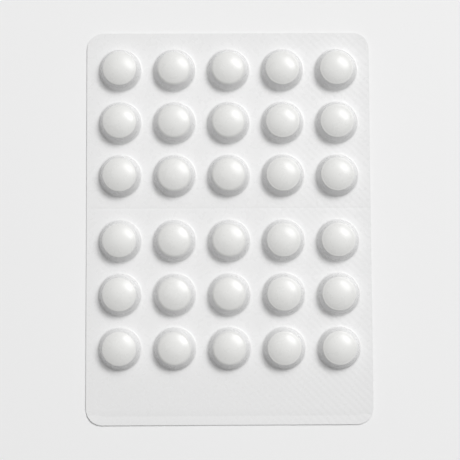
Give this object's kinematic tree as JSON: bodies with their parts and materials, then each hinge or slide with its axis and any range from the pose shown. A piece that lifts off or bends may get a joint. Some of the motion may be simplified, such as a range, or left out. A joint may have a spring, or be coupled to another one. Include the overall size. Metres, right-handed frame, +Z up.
{
  "type": "pill blister pack",
  "caption": "Flat push-through blister pack of round tablets: white formed plastic film with domed pockets over a foil back.",
  "frame": {"origin": "middle of the foil's underside", "axes": "+X across the columns of pockets, +Y along the pack towards the first row, away from the blank band, +Z up out of the pockets"},
  "size_m": [0.068, 0.094, 0.0043],
  "materials": {
    "formed_film": "white opaque PVC, satin to glossy",
    "lidding_foil": "bright hard aluminium foil with a fine seal knurl",
    "tablet": "smooth off-white film coat"
  },
  "bodies": {
    "root": {"formed_film": "formed_film", "lidding_foil": "lidding_foil", "tablet_r1c1": "tablet", "tablet_r1c2": "tablet", "tablet_r1c3": "tablet", "tablet_r1c4": "tablet", "tablet_r1c5": "tablet", "tablet_r2c1": "tablet", "tablet_r2c2": "tablet", "tablet_r2c3": "tablet", "tablet_r2c4": "tablet", "tablet_r2c5": "tablet", "tablet_r3c1": "tablet", "tablet_r3c2": "tablet", "tablet_r3c3": "tablet", "tablet_r3c4": "tablet", "tablet_r3c5": "tablet", "tablet_r4c1": "tablet", "tablet_r4c2": "tablet", "tablet_r4c3": "tablet", "tablet_r4c4": "tablet", "tablet_r4c5": "tablet", "tablet_r5c1": "tablet", "tablet_r5c2": "tablet", "tablet_r5c3": "tablet", "tablet_r5c4": "tablet", "tablet_r5c5": "tablet", "tablet_r6c1": "tablet", "tablet_r6c2": "tablet", "tablet_r6c3": "tablet", "tablet_r6c4": "tablet", "tablet_r6c5": "tablet"}
  },
  "joints": []
}
